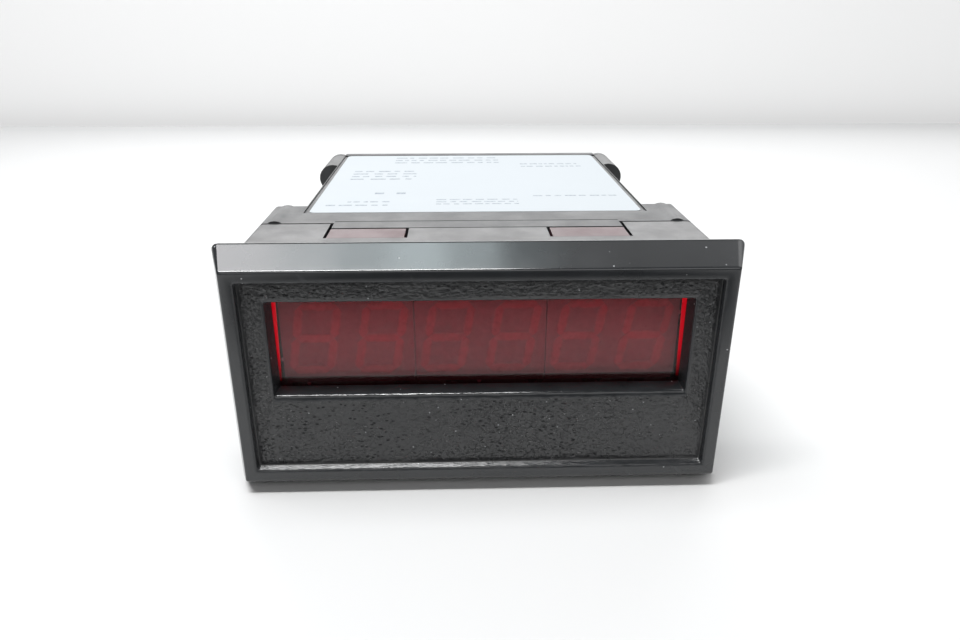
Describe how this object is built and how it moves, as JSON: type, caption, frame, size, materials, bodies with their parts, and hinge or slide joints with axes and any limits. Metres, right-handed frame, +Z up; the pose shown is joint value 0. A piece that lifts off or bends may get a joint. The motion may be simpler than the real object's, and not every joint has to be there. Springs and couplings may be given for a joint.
{
  "type": "panel-mounted frequency counter",
  "caption": "Panel-mounted frequency counter: sloped black bezel, recessed grained front with a red display window, and a rear case with terminals behind.",
  "frame": {"origin": "middle of the footprint, at the height of the lowest edge of the bezel", "axes": "+Y from the bezel to the rear cover along the depth, +X to the right as seen from the front, +Z up"},
  "size_m": [0.0966, 0.11, 0.0495],
  "materials": {
    "housing_black": "satin black ABS, gloss on the bezel, pebble grain on the recessed panel",
    "case_black": "fine matt moulded black-grey ABS",
    "window_red": "transparent red acrylic with a fine anti-glare front",
    "led_face": "satin grey display face with pale red segments",
    "label_paper": "satin white adhesive label with faint grey ruling",
    "board_green": "green solder mask",
    "chip_black": "matt moulded epoxy",
    "steel": "zinc-plated steel",
    "brass": "plain brass",
    "lamination": "varnished steel laminations",
    "winding_tape": "yellow polyester tape",
    "sleeve_blue": "shrunk vinyl sleeve",
    "sink_aluminium": "extruded aluminium",
    "switch_red": "moulded red plastic",
    "white_plastic": "white nylon",
    "terminal_black": "moulded phenolic"
  },
  "bodies": {
    "case": {"rear_case": "case_black", "rear_cover": "case_black", "cover_screw_1": "steel", "cover_screw_2": "steel", "cover_screw_3": "steel", "cover_screw_4": "steel", "top_label": "label_paper"},
    "front_unit": {"front_housing": "housing_black", "display_window": "window_red", "led_module_1": "led_face", "led_module_2": "led_face", "led_module_3": "led_face", "display_board": "board_green", "display_screw_1": "steel", "display_screw_2": "steel", "display_screw_3": "steel", "display_screw_4": "steel", "main_board": "board_green", "board_header": "chip_black", "counter_chip": "chip_black", "driver_chip_1": "chip_black", "driver_chip_2": "chip_black", "time_base_crystal": "steel", "trimmer_body": "white_plastic", "transformer_core": "lamination", "transformer_winding": "winding_tape", "reservoir_capacitor": "sleeve_blue", "output_capacitor": "sleeve_blue", "bridge_rectifier": "chip_black", "voltage_regulator": "chip_black", "heat_sink": "sink_aluminium", "terminal_strip": "terminal_black", "range_switch": "switch_red"},
    "latch_finger_top_left": {"latch_finger_top_left": "housing_black"},
    "latch_finger_top_right": {"latch_finger_top_right": "housing_black"},
    "latch_finger_bottom_left": {"latch_finger_bottom_left": "housing_black"},
    "latch_finger_bottom_right": {"latch_finger_bottom_right": "housing_black"},
    "clamp_washer_1": {"clamp_washer_1": "brass"},
    "terminal_screw_1": {"terminal_screw_1": "steel"},
    "clamp_washer_2": {"clamp_washer_2": "brass"},
    "terminal_screw_2": {"terminal_screw_2": "steel"},
    "clamp_washer_3": {"clamp_washer_3": "brass"},
    "terminal_screw_3": {"terminal_screw_3": "steel"},
    "clamp_washer_4": {"clamp_washer_4": "brass"},
    "terminal_screw_4": {"terminal_screw_4": "steel"},
    "clamp_washer_5": {"clamp_washer_5": "brass"},
    "terminal_screw_5": {"terminal_screw_5": "steel"},
    "clamp_washer_6": {"clamp_washer_6": "brass"},
    "terminal_screw_6": {"terminal_screw_6": "steel"},
    "switch_slider_1": {"switch_slider_1": "white_plastic"},
    "switch_slider_2": {"switch_slider_2": "white_plastic"},
    "switch_slider_3": {"switch_slider_3": "white_plastic"},
    "switch_slider_4": {"switch_slider_4": "white_plastic"},
    "trimmer_rotor": {"trimmer_rotor": "brass"}
  },
  "joints": [
    {"name": "front_unit_slide", "type": "slide", "parent": "case", "child": "front_unit", "axis": [0, -1, 0], "range_m": [0, 0.092]},
    {"name": "latch_finger_top_left_flex", "type": "hinge", "parent": "front_unit", "child": "latch_finger_top_left", "pos_m": [-0.0222, -0.0392, 0.046], "axis": [1, 0, 0], "range_deg": [-4, 0], "stiffness_Nm_per_rad": 0.02},
    {"name": "latch_finger_top_right_flex", "type": "hinge", "parent": "front_unit", "child": "latch_finger_top_right", "pos_m": [0.0222, -0.0392, 0.046], "axis": [1, 0, 0], "range_deg": [-4, 0], "stiffness_Nm_per_rad": 0.02},
    {"name": "latch_finger_bottom_left_flex", "type": "hinge", "parent": "front_unit", "child": "latch_finger_bottom_left", "pos_m": [-0.0222, -0.0392, 0.0035], "axis": [1, 0, 0], "range_deg": [0, 4], "stiffness_Nm_per_rad": 0.02},
    {"name": "latch_finger_bottom_right_flex", "type": "hinge", "parent": "front_unit", "child": "latch_finger_bottom_right", "pos_m": [0.0222, -0.0392, 0.0035], "axis": [1, 0, 0], "range_deg": [0, 4], "stiffness_Nm_per_rad": 0.02},
    {"name": "clamp_washer_1_lift", "type": "slide", "parent": "front_unit", "child": "clamp_washer_1", "axis": [0, 1, 0], "range_m": [0, 0.002]},
    {"name": "terminal_screw_1_turn", "type": "hinge", "parent": "clamp_washer_1", "child": "terminal_screw_1", "pos_m": [-0.02755, 0.0494, 0.02375], "axis": [0, 1, 0], "range_deg": [0, 1440]},
    {"name": "clamp_washer_2_lift", "type": "slide", "parent": "front_unit", "child": "clamp_washer_2", "axis": [0, 1, 0], "range_m": [0, 0.002]},
    {"name": "terminal_screw_2_turn", "type": "hinge", "parent": "clamp_washer_2", "child": "terminal_screw_2", "pos_m": [-0.01993, 0.0494, 0.02375], "axis": [0, 1, 0], "range_deg": [0, 1440]},
    {"name": "clamp_washer_3_lift", "type": "slide", "parent": "front_unit", "child": "clamp_washer_3", "axis": [0, 1, 0], "range_m": [0, 0.002]},
    {"name": "terminal_screw_3_turn", "type": "hinge", "parent": "clamp_washer_3", "child": "terminal_screw_3", "pos_m": [-0.01231, 0.0494, 0.02375], "axis": [0, 1, 0], "range_deg": [0, 1440]},
    {"name": "clamp_washer_4_lift", "type": "slide", "parent": "front_unit", "child": "clamp_washer_4", "axis": [0, 1, 0], "range_m": [0, 0.002]},
    {"name": "terminal_screw_4_turn", "type": "hinge", "parent": "clamp_washer_4", "child": "terminal_screw_4", "pos_m": [-0.00469, 0.0494, 0.02375], "axis": [0, 1, 0], "range_deg": [0, 1440]},
    {"name": "clamp_washer_5_lift", "type": "slide", "parent": "front_unit", "child": "clamp_washer_5", "axis": [0, 1, 0], "range_m": [0, 0.002]},
    {"name": "terminal_screw_5_turn", "type": "hinge", "parent": "clamp_washer_5", "child": "terminal_screw_5", "pos_m": [0.00293, 0.0494, 0.02375], "axis": [0, 1, 0], "range_deg": [0, 1440]},
    {"name": "clamp_washer_6_lift", "type": "slide", "parent": "front_unit", "child": "clamp_washer_6", "axis": [0, 1, 0], "range_m": [0, 0.002]},
    {"name": "terminal_screw_6_turn", "type": "hinge", "parent": "clamp_washer_6", "child": "terminal_screw_6", "pos_m": [0.01055, 0.0494, 0.02375], "axis": [0, 1, 0], "range_deg": [0, 1440]},
    {"name": "switch_slider_1_slide", "type": "slide", "parent": "front_unit", "child": "switch_slider_1", "axis": [0, 0, 1], "range_m": [0, 0.0018]},
    {"name": "switch_slider_2_slide", "type": "slide", "parent": "front_unit", "child": "switch_slider_2", "axis": [0, 0, 1], "range_m": [0, 0.0018]},
    {"name": "switch_slider_3_slide", "type": "slide", "parent": "front_unit", "child": "switch_slider_3", "axis": [0, 0, 1], "range_m": [0, 0.0018]},
    {"name": "switch_slider_4_slide", "type": "slide", "parent": "front_unit", "child": "switch_slider_4", "axis": [0, 0, 1], "range_m": [0, 0.0018]},
    {"name": "trimmer_turn", "type": "hinge", "parent": "front_unit", "child": "trimmer_rotor", "pos_m": [0.026, -0.015, 0.01855], "axis": [0, 0, 1], "continuous": true}
  ],
  "couplings": [
    {"joint": "terminal_screw_1_turn", "follows": "clamp_washer_1_lift", "rad_per_m": 12566},
    {"joint": "terminal_screw_2_turn", "follows": "clamp_washer_2_lift", "rad_per_m": 12566},
    {"joint": "terminal_screw_3_turn", "follows": "clamp_washer_3_lift", "rad_per_m": 12566},
    {"joint": "terminal_screw_4_turn", "follows": "clamp_washer_4_lift", "rad_per_m": 12566},
    {"joint": "terminal_screw_5_turn", "follows": "clamp_washer_5_lift", "rad_per_m": 12566},
    {"joint": "terminal_screw_6_turn", "follows": "clamp_washer_6_lift", "rad_per_m": 12566}
  ]
}
